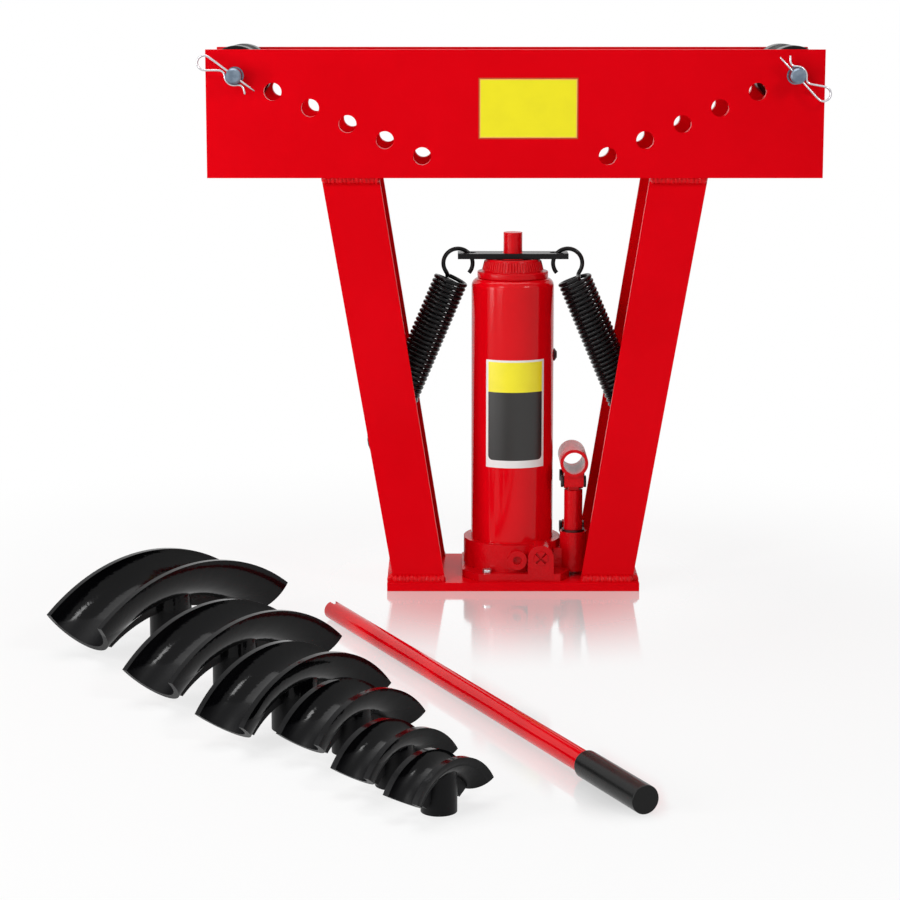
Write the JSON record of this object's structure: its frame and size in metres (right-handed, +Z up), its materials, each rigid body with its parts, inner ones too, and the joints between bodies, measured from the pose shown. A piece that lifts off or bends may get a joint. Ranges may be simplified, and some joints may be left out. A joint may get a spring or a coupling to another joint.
{
  "type": "hydraulic pipe bender",
  "caption": "Welded frame with an upright bottle jack, return springs, pinned rollers and a set of grooved dies, which bends pipe between the rollers as the ram rises.",
  "frame": {"origin": "centre of the base plate's underside, on the floor", "axes": "+Z up, +X along the plates towards the pump's side, -Y towards the viewer of the picture, where dies and handle lie"},
  "size_m": [0.6776, 0.7606, 0.5007],
  "materials": {
    "red_paint": "gloss red paint",
    "black_enamel": "black paint",
    "black_casting": "gloss black paint on a casting",
    "zinc": "zinc plated",
    "black_steel": "blackened steel",
    "spring_black": "black spring wire",
    "bright_steel": "turned steel",
    "seal_rubber": "seal rubber",
    "grip_rubber": "smooth black rubber",
    "plate_sticker": "yellow film with an orange border",
    "jack_sticker": "yellow and charcoal film with a white border"
  },
  "bodies": {
    "frame": {"base_plate": "red_paint", "left_leg": "red_paint", "right_leg": "red_paint", "front_plate": "red_paint", "back_plate": "red_paint", "weld_beads": "red_paint", "left_anchor_bolt": "black_steel", "right_anchor_bolt": "black_steel", "anchor_nuts": "black_steel", "left_spring": "spring_black", "right_spring": "spring_black", "jack_base": "red_paint", "jack_screws": "zinc", "reservoir_tube": "red_paint", "pressure_cylinder": "bright_steel", "top_nut": "red_paint", "ram_wiper": "seal_rubber", "pump_cylinder": "bright_steel", "pump_packing": "seal_rubber", "fulcrum_link": "red_paint", "link_pins": "black_steel", "plate_sticker": "plate_sticker", "jack_sticker": "jack_sticker"},
    "ram": {"ram": "red_paint", "piston": "bright_steel", "piston_seal": "seal_rubber", "spring_bar": "black_enamel", "stub_pin": "black_steel"},
    "plunger": {"pump_plunger": "red_paint", "plunger_bolt": "black_steel"},
    "socket": {"handle_socket": "red_paint"},
    "valve": {"release_valve": "red_paint"},
    "plug": {"filler_plug": "seal_rubber"},
    "left_pin": {"left_roller_pin": "zinc"},
    "right_pin": {"right_roller_pin": "zinc"},
    "left_roller": {"left_roller": "black_enamel"},
    "right_roller": {"right_roller": "black_enamel"},
    "left_clip": {"left_clip": "zinc"},
    "right_clip": {"right_clip": "zinc"},
    "inlet_ball": {"inlet_ball": "bright_steel"},
    "outlet_ball": {"outlet_ball": "bright_steel"},
    "handle": {"pump_handle": "red_paint", "handle_grip": "grip_rubber"},
    "die_60": {"die_60": "black_casting"},
    "die_48": {"die_48": "black_casting"},
    "die_42": {"die_42": "black_casting"},
    "die_33": {"die_33": "black_casting"},
    "die_27": {"die_27": "black_casting"},
    "die_21": {"die_21": "black_casting"}
  },
  "joints": [
    {"name": "ram_lift", "type": "slide", "parent": "frame", "child": "ram", "axis": [0, 0, 1], "range_m": [0, 0.2], "deforming": ["left_spring", "right_spring"]},
    {"name": "socket_swing", "type": "hinge", "parent": "frame", "child": "socket", "pos_m": [0.057, 0.01, 0.096], "axis": [-1, 0, 0], "range_deg": [-15, 25]},
    {"name": "plunger_slide", "type": "slide", "parent": "frame", "child": "plunger", "axis": [0, 0, 1], "range_m": [-0.0082, 0.0136]},
    {"name": "valve_turn", "type": "hinge", "parent": "frame", "child": "valve", "pos_m": [0.0257, -0.045, 0.03], "axis": [0, -1, 0], "range_deg": [0, 360]},
    {"name": "plug_pull", "type": "slide", "parent": "frame", "child": "plug", "axis": [1, 0, 0], "range_m": [0, 0.012]},
    {"name": "left_pin_turn", "type": "hinge", "parent": "frame", "child": "left_pin", "pos_m": [-0.2511, 0, 0.4742], "axis": [0, 1, 0], "continuous": true},
    {"name": "left_roller_spin", "type": "hinge", "parent": "left_pin", "child": "left_roller", "pos_m": [-0.2511, 0, 0.4742], "axis": [0, 1, 0], "continuous": true},
    {"name": "left_clip_pull", "type": "slide", "parent": "left_pin", "child": "left_clip", "axis": [-0.7986, 0, 0.6018], "range_m": [0, 0.034], "deforming": ["left_clip"]},
    {"name": "right_pin_turn", "type": "hinge", "parent": "frame", "child": "right_pin", "pos_m": [0.2511, 0, 0.4742], "axis": [0, 1, 0], "continuous": true},
    {"name": "right_roller_spin", "type": "hinge", "parent": "right_pin", "child": "right_roller", "pos_m": [0.2511, 0, 0.4742], "axis": [0, 1, 0], "continuous": true},
    {"name": "right_clip_pull", "type": "slide", "parent": "right_pin", "child": "right_clip", "axis": [0.682, 0, -0.7314], "range_m": [0, 0.034], "deforming": ["right_clip"]},
    {"name": "inlet_ball_lift", "type": "slide", "parent": "frame", "child": "inlet_ball", "axis": [0, 0, 1], "range_m": [0, 0.001]},
    {"name": "outlet_ball_lift", "type": "slide", "parent": "frame", "child": "outlet_ball", "axis": [0, 0, 1], "range_m": [0, 0.001]},
    {"name": "handle_lift", "type": "slide", "parent": "frame", "child": "handle", "axis": [0, 0, 1], "range_m": [0, 0.3]},
    {"name": "die_60_lift", "type": "slide", "parent": "frame", "child": "die_60", "axis": [0, 0, 1], "range_m": [0, 0.3]},
    {"name": "die_48_lift", "type": "slide", "parent": "frame", "child": "die_48", "axis": [0, 0, 1], "range_m": [0, 0.3]},
    {"name": "die_42_lift", "type": "slide", "parent": "frame", "child": "die_42", "axis": [0, 0, 1], "range_m": [0, 0.3]},
    {"name": "die_33_lift", "type": "slide", "parent": "frame", "child": "die_33", "axis": [0, 0, 1], "range_m": [0, 0.3]},
    {"name": "die_27_lift", "type": "slide", "parent": "frame", "child": "die_27", "axis": [0, 0, 1], "range_m": [0, 0.3]},
    {"name": "die_21_lift", "type": "slide", "parent": "frame", "child": "die_21", "axis": [0, 0, 1], "range_m": [0, 0.3]}
  ],
  "couplings": [
    {"joint": "plunger_slide", "follows": "socket_swing", "m_per_rad": 0.031}
  ]
}
